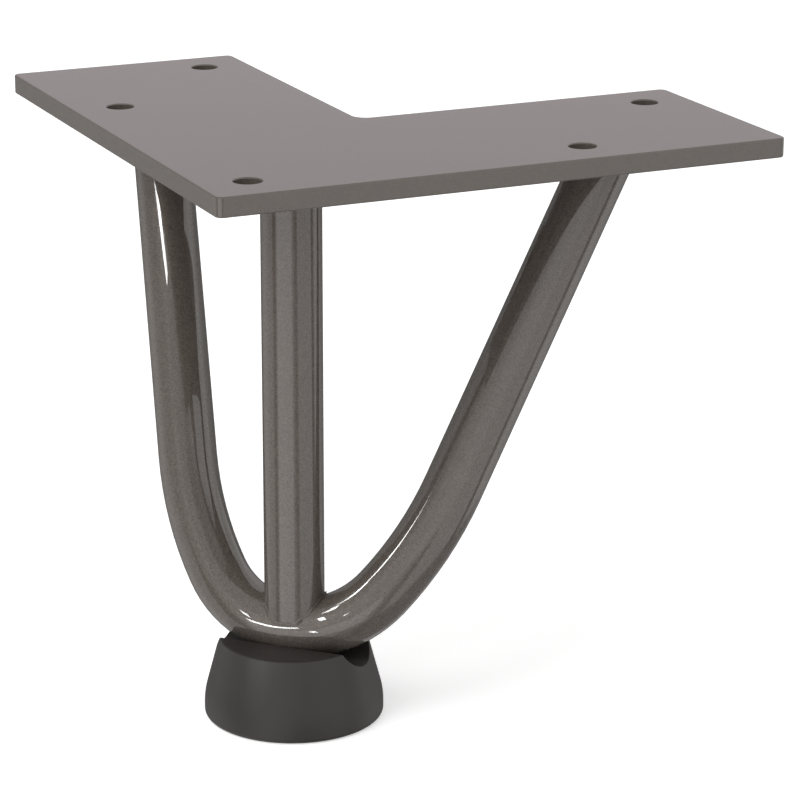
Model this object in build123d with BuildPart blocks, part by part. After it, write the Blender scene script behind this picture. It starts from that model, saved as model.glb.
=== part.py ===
# Short hairpin table leg: an L-shaped steel plate carries a hairpin of bent round rod and a straight rod,
# welded together above a moulded foot. Millimetres. The origin is the middle of the foot's underside,
# +Z is up, and +X and +Y run along the two arms of the plate.

import os
from math import atan2, cos, degrees, radians, sin

from build123d import *

# Overall
leg_height = 114.2

# Plate
plate_length = 120.0
arm_width = 50.0
plate_thickness = 4.0
plate_inset = 24.3
outer_corner_radius = 1.5
inner_corner_radius = 3.0
plate_edge_radius = 0.3

# Screw holes
hole_diameter = 5.5
hole_margin = 10.0
arm_hole_spacing = 30.0

# Rods
rod_diameter = 12.0
rod_setback = 1.0
hairpin_tilt = 27.9
bend_radius = 22.0
bend_angle = 54.2
easing_radius = 72.7
easing_angle = 19.9
straight_rod_offset = 0.7
straight_rod_overlap = 3.0

# Welds
plate_weld_leg = 2.5
plate_weld_toe = 0.3
rod_weld_size = 0.45
rod_weld_face = 0.1

# Foot
foot_height = 16.2
foot_diameter = 36.0
foot_top_diameter = 29.6
foot_band_height = 4.2
foot_bottom_radius = 1.0
foot_shoulder_radius = 15.0
foot_rim_radius = 0.4
groove_depth = 3.8
groove_clearance = 0.1

# Worked out from the sizes above
rod_radius = rod_diameter / 2
foot_radius = foot_diameter / 2
plate_underside = leg_height - plate_thickness
bend_height = foot_height - groove_depth + rod_radius
straight_rod_bottom = bend_height + rod_radius - straight_rod_overlap

up = Vector(0, 0, 1)
diagonal = Vector(1, 1, 0).normalized()
across = Vector(1, -1, 0).normalized()
hairpin_rise = diagonal * sin(radians(hairpin_tilt)) + up * cos(radians(hairpin_tilt))
bend_bottom = up * bend_height - diagonal * rod_setback
hairpin_plane = Plane(bend_bottom, x_dir=across, z_dir=across.cross(hairpin_rise))
straight_rod_axis = across * straight_rod_offset - diagonal * rod_setback


def save(piece, name):
    """Label a finished piece and write it."""
    piece.part.label = name
    export_step(piece.part, f"parts/{name}.step")


# The hairpin's centre line: a tight bend that eases into two straight limbs, past the plate's underside
limb_reach = (plate_underside - bend_height) / cos(radians(hairpin_tilt)) + rod_diameter
with BuildLine() as hairpin_line:
    bend = JernArc((0, 0), (1, 0), bend_radius, bend_angle)
    easing = JernArc(bend @ 1, bend % 1, easing_radius, easing_angle)
    PolarLine(
        easing @ 1,
        limb_reach - (easing @ 1).Y,
        bend_angle + easing_angle,
        length_mode=LengthMode.VERTICAL,
    )
    mirror(about=Plane.YZ)
hairpin_path = hairpin_line.wire().moved(hairpin_plane.location)


def hairpin(radius):
    """A bent bar on the hairpin's centre line, cut off level with the plate's underside."""
    with BuildPart() as bar:
        with BuildSketch(Plane(hairpin_path @ 0, z_dir=hairpin_path % 0)):
            Circle(radius)
        sweep(path=hairpin_path)
        split(bisect_by=Plane.XY.offset(plate_underside), keep=Keep.BOTTOM)
    return bar


def plate_weld(rod, axis_point, direction):
    """A bead round the top of a rod, whose axis runs up through a point in a direction."""
    top = axis_point - direction * ((axis_point.Z - plate_underside) / direction.Z)
    toe = top - direction * (plate_weld_leg / direction.Z)
    lean = degrees(atan2(direction.Y, direction.X))
    with BuildPart() as bead:
        for centre, width in ((toe, plate_weld_toe), (top, plate_weld_leg)):
            with BuildSketch(Plane(centre)):
                Ellipse(rod_radius / direction.Z + width, rod_radius + width, rotation=lean)
        loft(ruled=True)
        add(rod.part, mode=Mode.SUBTRACT)
    return bead


os.makedirs("parts", exist_ok=True)

# Top plate: an L with a screw hole in its corner and two on each arm
arm_end_hole = plate_length - hole_margin
arm_holes = [
    (arm_end_hole - arm_hole_spacing, hole_margin),
    (arm_end_hole, arm_width - hole_margin),
]
with BuildPart() as top_plate:
    with BuildSketch(Plane((-plate_inset, -plate_inset, plate_underside))) as plate_outline:
        Rectangle(plate_length, arm_width, align=(Align.MIN, Align.MIN))
        Rectangle(arm_width, plate_length, align=(Align.MIN, Align.MIN))
        corners = plate_outline.vertices().sort_by_distance((arm_width, arm_width))
        fillet(corners[1:], outer_corner_radius)
        corners = plate_outline.vertices().sort_by_distance((arm_width, arm_width))
        fillet(corners[0], inner_corner_radius)
        with Locations((hole_margin, hole_margin), *arm_holes, *((y, x) for x, y in arm_holes)):
            Circle(hole_diameter / 2, mode=Mode.SUBTRACT)
    extrude(amount=plate_thickness)
    fillet(top_plate.faces().filter_by(Axis.Z).edges(), plate_edge_radius)
save(top_plate, "top_plate")

# Bent rod: both limbs and the bend between them are one bar
bent_rod = hairpin(rod_radius)
save(bent_rod, "bent_rod")

# Straight rod: it stands on the bend, its lower end saddled to fit
with BuildPart() as straight_rod:
    with BuildSketch(Plane(straight_rod_axis + up * straight_rod_bottom)):
        Circle(rod_radius)
    extrude(amount=plate_underside - straight_rod_bottom)
    add(bent_rod.part, mode=Mode.SUBTRACT)
save(straight_rod, "straight_rod")

# Welds under the plate, one round each rod end
save(plate_weld(bent_rod, hairpin_path @ 1, hairpin_path % 1), "weld_x_limb")
save(plate_weld(bent_rod, hairpin_path @ 0, -(hairpin_path % 0)), "weld_y_limb")
save(plate_weld(straight_rod, straight_rod_axis, up), "weld_straight_rod")

# Weld where the straight rod stands on the bend: it fills the corner between the two bars on both sides,
# and is nearly flush with them at the front and back
rod_weld_bottom = straight_rod_axis + up * (straight_rod_bottom - rod_weld_size)
with BuildPart() as rod_weld:
    with BuildSketch(Plane(rod_weld_bottom, x_dir=across)):
        Ellipse(rod_radius + rod_weld_size, rod_radius + rod_weld_face)
    extrude(amount=rod_diameter)
    add(hairpin(rod_radius + rod_weld_size).part, mode=Mode.INTERSECT)
    add(bent_rod.part, mode=Mode.SUBTRACT)
    add(straight_rod.part, mode=Mode.SUBTRACT)
save(rod_weld, "rod_weld")

# Foot: a turned shape with a groove across its top, in which the bend lies
with BuildPart() as foot:
    with BuildSketch(Plane.XZ):
        with BuildLine():
            FilletPolyline(
                (0, 0),
                (foot_radius, 0),
                (foot_radius, foot_band_height),
                (foot_top_diameter / 2, foot_height),
                (0, foot_height),
                radius=[foot_bottom_radius, foot_shoulder_radius, foot_rim_radius],
            )
            Line((0, foot_height), (0, 0))
        make_face()
    revolve(axis=Axis.Z)
    with BuildSketch(Plane(bend_bottom, z_dir=across)):
        Circle(rod_radius + groove_clearance)
    extrude(amount=foot_diameter, both=True, mode=Mode.SUBTRACT)
save(foot, "foot")
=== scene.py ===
# Looks of the short hairpin table leg: coated steel, weld beads and a moulded foot in a plain white studio.
import math

import bpy
from mathutils import Matrix, Quaternion, Vector

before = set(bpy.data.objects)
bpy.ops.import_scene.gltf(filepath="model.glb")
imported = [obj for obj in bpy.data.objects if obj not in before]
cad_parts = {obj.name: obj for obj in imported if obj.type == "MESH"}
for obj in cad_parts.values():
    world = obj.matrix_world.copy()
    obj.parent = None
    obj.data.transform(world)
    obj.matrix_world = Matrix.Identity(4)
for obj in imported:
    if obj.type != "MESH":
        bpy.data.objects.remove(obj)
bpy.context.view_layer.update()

MM = 0.001

# Camera
CAMERA_AT = Vector((-0.2291, -0.5551, 0.25595))
CAMERA_YAW = 65.545
CAMERA_PITCH = 17.604
CAMERA_ROLL = -0.093
CAMERA_NEAREST = 0.01
CAMERA_FARTHEST = 20
SENSOR = 36.0
FOCAL_PIXELS = 3215.5
IMAGE_PIXELS = 800

# Studio
STUDIO_CENTRE = Vector((0.015, 0.015, 0.06))
FRONT = CAMERA_YAW - 180
AMBIENT = 0.64
FLOOR_REACH = 3.0
FLOOR_WHITE = (0.9, 0.9, 0.9, 1)
FLOOR_GLOW = 0.46
SKY_WHITE = (1, 1, 1, 1)
SKY_DUSKY = (1, 0.92, 0.97, 1)

# Coated steel
STEEL = (0.1125, 0.096, 0.083)
STEEL_ROUGHNESS = 0.45
STEEL_METALLIC = 0.15
STEEL_TINT = (0.25, 0.23, 0.21, 1)
COAT_IOR = 1.5
COAT_ROUGHNESS = 0.03
FLAKE_SIZE = 0.2 * MM
FLAKE_CONTRAST = 0.3
FLAKE_DEPTH = 0.02 * MM
CLOUD_SIZE = 1.3 * MM
CLOUD_CONTRAST = 0.04
RIPPLE_SIZE = 1.1 * MM
RIPPLE_DEPTH = 0.35 * MM

# Foot
RUBBER = (0.0235, 0.0198, 0.0186)
RUBBER_ROUGHNESS = (0.42, 0.52)
RUBBER_SHINE = 0.38
GRAIN_SIZE = 0.5 * MM
GRAIN_CONTRAST = 0.06
GRAIN_DEPTH = 0.05 * MM
MOTTLE_SIZE = 9 * MM
MOTTLE_CONTRAST = 0.08

# How strong the fine bumps of both materials are, and where most values of a noise lie
BUMP = 0.15
NOISE_SPAN = (0.3, 0.7)


def direction(azimuth, elevation):
    """Unit vector towards a place in the studio, in degrees. Azimuth is from the front, positive to the right."""
    a, e = math.radians(FRONT + azimuth), math.radians(elevation)
    return Vector((math.cos(a) * math.cos(e), math.sin(a) * math.cos(e), math.sin(e)))


def link(tree, a, b):
    tree.links.new(a, b)


def ramp(tree, value, low, high, start=0.0, end=1.0):
    """A value's span from start to end, stretched over low to high."""
    r = tree.nodes.new("ShaderNodeMapRange")
    r.inputs["From Min"].default_value = start
    r.inputs["From Max"].default_value = end
    r.inputs["To Min"].default_value = low
    r.inputs["To Max"].default_value = high
    link(tree, value, r.inputs["Value"])
    return r.outputs["Result"]


def arithmetic(tree, operation, a, b=0.0):
    """A Math node on two sockets or numbers."""
    m = tree.nodes.new("ShaderNodeMath")
    m.operation = operation
    for value, entry in ((a, m.inputs[0]), (b, m.inputs[1])):
        if isinstance(value, (int, float)):
            entry.default_value = value
        else:
            link(tree, value, entry)
    return m.outputs[0]


def material(name):
    """A material with one Principled shader, its tree, the shader and the object's own coordinates."""
    m = bpy.data.materials.new(name)
    m.use_nodes = True
    tree = m.node_tree
    tree.nodes.clear()
    out = tree.nodes.new("ShaderNodeOutputMaterial")
    shader = tree.nodes.new("ShaderNodeBsdfPrincipled")
    link(tree, shader.outputs["BSDF"], out.inputs["Surface"])
    return m, tree, shader, tree.nodes.new("ShaderNodeTexCoord").outputs["Object"]


def tinted(tree, colour, first, second):
    """A colour times two factors."""
    scale = tree.nodes.new("ShaderNodeVectorMath")
    scale.operation = "SCALE"
    scale.inputs[0].default_value = colour
    link(tree, arithmetic(tree, "MULTIPLY", first, second), scale.inputs["Scale"])
    return scale.outputs["Vector"]


def noise(tree, at, size, detail=2):
    n = tree.nodes.new("ShaderNodeTexNoise")
    n.inputs["Scale"].default_value = 1 / size
    n.inputs["Detail"].default_value = detail
    link(tree, at, n.inputs["Vector"])
    return n.outputs["Fac"]


def varied(tree, value, contrast):
    """A factor about 1 that follows a noise."""
    return ramp(tree, value, 1 - contrast, 1 + contrast, *NOISE_SPAN)


def bump(tree, height, strength, depth):
    b = tree.nodes.new("ShaderNodeBump")
    b.inputs["Strength"].default_value = strength
    b.inputs["Distance"].default_value = depth
    link(tree, height, b.inputs["Height"])
    return b


def steel(name, flake=1.0, ripple=0.0):
    """Anthracite coating with fine metal flake under a clear gloss, rippled on a weld."""
    m, tree, shader, at = material(name)
    flakes = tree.nodes.new("ShaderNodeTexVoronoi")
    flakes.inputs["Scale"].default_value = 1 / FLAKE_SIZE
    link(tree, at, flakes.inputs["Vector"])
    grey = tree.nodes.new("ShaderNodeRGBToBW")
    link(tree, flakes.outputs["Color"], grey.inputs["Color"])
    contrast = FLAKE_CONTRAST * flake
    sparkle = ramp(tree, grey.outputs["Val"], 1 - contrast, 1 + contrast)
    clouds = noise(tree, at, CLOUD_SIZE, detail=3)
    roughness = (STEEL_ROUGHNESS - CLOUD_CONTRAST, STEEL_ROUGHNESS + CLOUD_CONTRAST)
    colour = tinted(tree, STEEL, sparkle, varied(tree, clouds, CLOUD_CONTRAST))
    link(tree, colour, shader.inputs["Base Color"])
    link(tree, ramp(tree, clouds, *roughness, *NOISE_SPAN), shader.inputs["Roughness"])
    shader.inputs["Metallic"].default_value = STEEL_METALLIC
    shader.inputs["Specular IOR Level"].default_value = 0.0
    shader.inputs["Specular Tint"].default_value = STEEL_TINT
    shader.inputs["Coat Weight"].default_value = 1.0
    shader.inputs["Coat Roughness"].default_value = COAT_ROUGHNESS
    shader.inputs["Coat IOR"].default_value = COAT_IOR
    fine = bump(tree, grey.outputs["Val"], BUMP * flake, FLAKE_DEPTH)
    link(tree, fine.outputs["Normal"], shader.inputs["Normal"])
    if ripple:
        waves = bump(tree, noise(tree, at, RIPPLE_SIZE), ripple, RIPPLE_DEPTH)
        link(tree, waves.outputs["Normal"], fine.inputs["Normal"])
        link(tree, waves.outputs["Normal"], shader.inputs["Coat Normal"])
    return m


def rubber(name):
    """Dark moulded foot: matt, with a fine moulded grain."""
    m, tree, shader, at = material(name)
    grain = noise(tree, at, GRAIN_SIZE, detail=4)
    mottle = noise(tree, at, MOTTLE_SIZE)
    colour = tinted(tree, RUBBER, varied(tree, grain, GRAIN_CONTRAST), varied(tree, mottle, MOTTLE_CONTRAST))
    link(tree, colour, shader.inputs["Base Color"])
    link(tree, ramp(tree, grain, *RUBBER_ROUGHNESS, *NOISE_SPAN), shader.inputs["Roughness"])
    shader.inputs["Specular IOR Level"].default_value = RUBBER_SHINE
    link(tree, bump(tree, grain, BUMP, GRAIN_DEPTH).outputs["Normal"], shader.inputs["Normal"])
    return m


def give(names, m):
    """Put a material on some pieces."""
    for name in names:
        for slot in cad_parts[name].material_slots:
            slot.material = m


give(("top_plate",), steel("coated_plate", flake=0.35))
give(("bent_rod", "straight_rod"), steel("coated_rod", flake=1.15))
give(("weld_x_limb", "weld_y_limb", "weld_straight_rod"), steel("coated_weld", ripple=0.5))
give(("rod_weld",), steel("coated_smooth_weld", ripple=0.12))
give(("foot",), rubber("moulded_rubber"))

# Camera
camera = bpy.data.cameras.new("camera")
camera.sensor_width = SENSOR
camera.lens = SENSOR * FOCAL_PIXELS / IMAGE_PIXELS
camera.clip_start, camera.clip_end = CAMERA_NEAREST, CAMERA_FARTHEST
eye = bpy.data.objects.new("camera", camera)
yaw, pitch, roll = (math.radians(x) for x in (CAMERA_YAW, CAMERA_PITCH, CAMERA_ROLL))
forward = Vector((math.cos(yaw) * math.cos(pitch), math.sin(yaw) * math.cos(pitch), -math.sin(pitch)))
side = Vector((math.sin(yaw), -math.cos(yaw), 0))
below = forward.cross(side)
right = side * math.cos(roll) + below * math.sin(roll)
down = below * math.cos(roll) - side * math.sin(roll)
turn = Matrix((right, -down, -forward)).transposed()
eye.matrix_world = Matrix.Translation(CAMERA_AT) @ turn.to_4x4()
bpy.context.collection.objects.link(eye)
bpy.context.scene.camera = eye


def seen_rays(tree):
    """1 for rays from the camera, in a gloss or through glass, 0 for the rays that light the object."""
    path = tree.nodes.new("ShaderNodeLightPath")
    total = path.outputs["Is Camera Ray"]
    for name in ("Is Glossy Ray", "Is Transmission Ray"):
        total = arithmetic(tree, "MAXIMUM", total, path.outputs[name])
    return total


def step(tree, value, at, soft):
    """0 below a place and 1 above it, with a soft edge."""
    r = tree.nodes.new("ShaderNodeMapRange")
    r.interpolation_type = "SMOOTHSTEP"
    r.inputs["From Min"].default_value = at - soft
    r.inputs["From Max"].default_value = at + soft
    link(tree, value, r.inputs["Value"])
    return r.outputs["Result"]


def band(tree, value, low, high, soft):
    """1 between two places and 0 outside them."""
    return arithmetic(tree, "SUBTRACT", step(tree, value, low, soft), step(tree, value, high, soft))


def along(tree, towards, vector):
    d = tree.nodes.new("ShaderNodeVectorMath")
    d.operation = "DOT_PRODUCT"
    link(tree, vector, d.inputs[0])
    d.inputs[1].default_value = towards
    return d.outputs["Value"]


# White surroundings, which light the object at a lower level
world = bpy.data.worlds.new("studio")
bpy.context.scene.world = world
world.use_nodes = True
tree = world.node_tree
tree.nodes.clear()
out = tree.nodes.new("ShaderNodeOutputWorld")
back = tree.nodes.new("ShaderNodeBackground")

# The studio that the gloss shows, in degrees round from the front and up from the horizon
sky = tree.nodes.new("ShaderNodeTexCoord").outputs["Generated"]
ahead = along(tree, direction(0, 0), sky)
aside = along(tree, direction(90, 0), sky)
height = along(tree, (0, 0, 1), sky)
DEGREES = 180 / math.pi
azimuth = arithmetic(tree, "MULTIPLY", arithmetic(tree, "ARCTAN2", aside, ahead), DEGREES)
elevation = arithmetic(tree, "MULTIPLY", arithmetic(tree, "ARCSINE", height), DEGREES)
# each panel: azimuth from and to, elevation from and to, softness of its sides, all in degrees, and its level
PANELS = (
    (-55, 3, -24, 3, 2, 2.1),
    (-73, -60, -25, 12, 2.5, 0.2),
    (10, 22, -60, 3, 3, 0.4),
    (22, 112, -34, 60, 3, 1.4),
    (78, 90, -34, 20, 2, 0.2),
    (-12, 140, -85, -31, 4, 0.4),
    (-73, -25, -52, -28, 4, 1.5),
    (-148, -58, 6, 100, 6, 0.72),
    (-50, 22, 6, 35, 4, 1.35),
    (-10, 80, 44, 80, 6, 0.4),
)
level = 1.0
for az_from, az_to, el_from, el_to, soft, inside in PANELS:
    across = band(tree, azimuth, az_from, az_to, soft)
    upward = band(tree, elevation, el_from, el_to, soft)
    patch = arithmetic(tree, "MULTIPLY", across, upward)
    level = arithmetic(tree, "MULTIPLY", level, ramp(tree, patch, 1.0, inside))

# Darker behind the object, except above the horizon, where it is lifted and a little dusky
backward = ramp(tree, step(tree, ahead, -0.62, 0.3), 0.22, 1.0)
above = step(tree, elevation, 4, 6)
behind = step(tree, ahead, -0.85, 0.1)
lifted = arithmetic(tree, "MULTIPLY", above, ramp(tree, behind, 0.72, 1.2))
lifted = arithmetic(tree, "MULTIPLY", lifted, ramp(tree, step(tree, aside, -0.3, 0.25), 0.5, 1.0))
lifted_behind = arithmetic(tree, "MULTIPLY", above, ramp(tree, behind, 1.0, 0.0))
level = arithmetic(tree, "MULTIPLY", level, arithmetic(tree, "MAXIMUM", backward, lifted))

glossy = tree.nodes.new("ShaderNodeLightPath").outputs["Is Glossy Ray"]
shown = tree.nodes.new("ShaderNodeMix")
link(tree, glossy, shown.inputs["Factor"])
link(tree, ramp(tree, seen_rays(tree), AMBIENT, 1.0), shown.inputs["A"])
link(tree, level, shown.inputs["B"])
link(tree, shown.outputs["Result"], back.inputs["Strength"])
tint = tree.nodes.new("ShaderNodeMix")
tint.data_type = "RGBA"
link(tree, arithmetic(tree, "MULTIPLY", glossy, lifted_behind), tint.inputs["Factor"])
white, dusky = (entry for entry in tint.inputs if entry.type == "RGBA")
white.default_value = SKY_WHITE
dusky.default_value = SKY_DUSKY
link(tree, next(result for result in tint.outputs if result.type == "RGBA"), back.inputs["Color"])
link(tree, back.outputs[0], out.inputs["Surface"])

# Floor: it lights the object less than it shows
floor_material = bpy.data.materials.new("white_floor")
floor_material.use_nodes = True
tree = floor_material.node_tree
tree.nodes.clear()
out = tree.nodes.new("ShaderNodeOutputMaterial")
matt = tree.nodes.new("ShaderNodeBsdfDiffuse")
matt.inputs["Color"].default_value = FLOOR_WHITE
glow = tree.nodes.new("ShaderNodeEmission")
link(tree, ramp(tree, seen_rays(tree), 0.0, FLOOR_GLOW), glow.inputs["Strength"])
both = tree.nodes.new("ShaderNodeAddShader")
link(tree, matt.outputs[0], both.inputs[0])
link(tree, glow.outputs[0], both.inputs[1])
link(tree, both.outputs[0], out.inputs["Surface"])
floor_mesh = bpy.data.meshes.new("floor")
floor_corners = [(x * FLOOR_REACH, y * FLOOR_REACH, 0) for x, y in ((-1, -1), (1, -1), (1, 1), (-1, 1))]
floor_mesh.from_pydata(floor_corners, [], [(0, 1, 2, 3)])
floor_mesh.materials.append(floor_material)
floor = bpy.data.objects.new("floor", floor_mesh)
bpy.context.collection.objects.link(floor)
floor.visible_glossy = False


def lamp(name, place, turned, wide, high, watts, spread=180.0):
    """A lamp that shines along its own -Z, within a spread in degrees. The camera doesn't see it."""
    data = bpy.data.lights.new(name, "AREA")
    data.shape = "RECTANGLE"
    data.size, data.size_y = wide, high
    data.energy = watts
    data.spread = math.radians(spread)
    o = bpy.data.objects.new(name, data)
    o.location = place
    o.rotation_mode = "QUATERNION"
    o.rotation_quaternion = turned
    o.visible_camera = False
    bpy.context.collection.objects.link(o)
    return o


# Small snooted lamps, each close to the place whose glint it makes. All but the fleck were fitted to the photo's
# streaks by another program and rounded. Each: azimuth, elevation, distance, width, height, tilt, aim, spread,
# in degrees and millimetres
SNOOTS = {
    "left_limb": (-40, 41, 40, 26, 7, -36, (-8, 50, 89), 40),
    "right_bend": (-85, 37, 110, 8, 19, -58, (13, -13, 32.5), 40),
    "right_low": (-69, 45, 130, 22, 3, -19, (4, -10.5, 24.5), 18),
    "bead": (-45, 31, 40, 9, 1.6, -50, (2, -10, 22.5), 40),
    "fleck": (-31, 18, 100, 3, 3, 0, (6, -12.5, 24), 18),
    "below": (-30, -6, 410, 57, 14, -60, (0, -9.5, 20), 12),
    "left_low": (-45, 8, 60, 26, 5, 27, (-6, -3.5, 20), 40),
    "hook": (-49, 15, 350, 11, 39, 0, (-10, 2, 22), 12),
}
SNOOT_LEVEL = 32.0
for name, (azimuth, elevation, distance, wide, high, tilt, aim, spread) in SNOOTS.items():
    half = math.radians(spread) / 2
    watts = SNOOT_LEVEL * math.pi * wide * MM * high * MM * (1 - half / math.tan(half))
    towards = direction(azimuth, elevation)
    place = Vector(aim) * MM + towards * (distance * MM)
    turned = Quaternion(towards, math.radians(tilt)) @ towards.to_track_quat("Z", "Y")
    snoot = lamp("snoot_" + name, place, turned, wide * MM, high * MM, watts, spread)
    snoot.visible_diffuse = False

SOFT_LAMP_SIZE = 1.0
SOFT_LAMP_DISTANCE = 1.3
SOFT_LAMP_WATTS = 8.3
left_above = direction(-60, 50)
soft_lamp = lamp(
    "lamp_soft_left",
    STUDIO_CENTRE + left_above * SOFT_LAMP_DISTANCE,
    left_above.to_track_quat("Z", "Y"),
    SOFT_LAMP_SIZE,
    SOFT_LAMP_SIZE,
    SOFT_LAMP_WATTS,
)
soft_lamp.visible_glossy = False

bpy.context.scene.view_settings.view_transform = "Standard"
